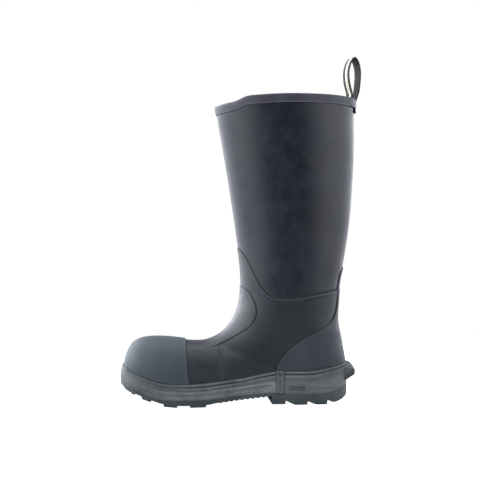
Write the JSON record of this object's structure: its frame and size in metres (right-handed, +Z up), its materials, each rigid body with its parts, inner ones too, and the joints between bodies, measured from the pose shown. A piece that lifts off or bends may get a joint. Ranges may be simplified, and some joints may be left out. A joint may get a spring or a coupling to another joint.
{
  "type": "rubber work boot",
  "caption": "Tall pull-on rubber work boot for the right foot, with a steel toe, an insulated lining, a lugged sole and a webbing pull loop at the back of the rim.",
  "frame": {"origin": "middle of the bounding box in plan, on the ground under the lugs", "axes": "+Z up, -X towards the toe, -Y towards the big-toe side, +Y towards the little-toe side"},
  "size_m": [0.3365, 0.1162, 0.4835],
  "materials": {
    "shaft_rubber": "smooth blue-black rubber, satin",
    "foot_rubber": "smooth black rubber, satin",
    "overlay_rubber": "fine-grained charcoal rubber, matt",
    "sole_rubber": "moulded charcoal rubber, matt",
    "neoprene": "foamed neoprene, matt",
    "lining": "brushed knit, matt",
    "webbing": "woven webbing with a pale stripe",
    "foam": "expanded foam, matt",
    "board": "pressed fibre board",
    "steel": "pressed steel"
  },
  "bodies": {
    "boot": {"outsole": "sole_rubber", "front_sidewall": "sole_rubber", "heel_sidewall": "sole_rubber", "foxing_bead": "foot_rubber", "inner_side_clip": "sole_rubber", "outer_side_clip": "sole_rubber", "kick_off_lug": "sole_rubber", "midsole": "foam", "steel_shank": "steel", "insole_board": "board", "footbed": "foam", "steel_toe_cap": "steel", "cap_edge_pad": "foam", "heel_stiffener": "board", "foot_shell": "foot_rubber", "toe_overlay": "overlay_rubber", "instep_panel": "foot_rubber", "heel_counter": "overlay_rubber", "shaft_shell": "shaft_rubber", "neoprene_bootie": "neoprene", "fabric_lining": "lining", "top_binding": "shaft_rubber", "outer_strap_tail": "webbing", "inner_strap_tail": "webbing"},
    "pull_loop": {"pull_loop": "webbing"}
  },
  "joints": [
    {"name": "pull_loop_fold", "type": "hinge", "parent": "boot", "child": "pull_loop", "pos_m": [0.1592, 0, 0.4286], "axis": [0, 1, 0], "range_deg": [-60, 95], "stiffness_Nm_per_rad": 0.006}
  ]
}
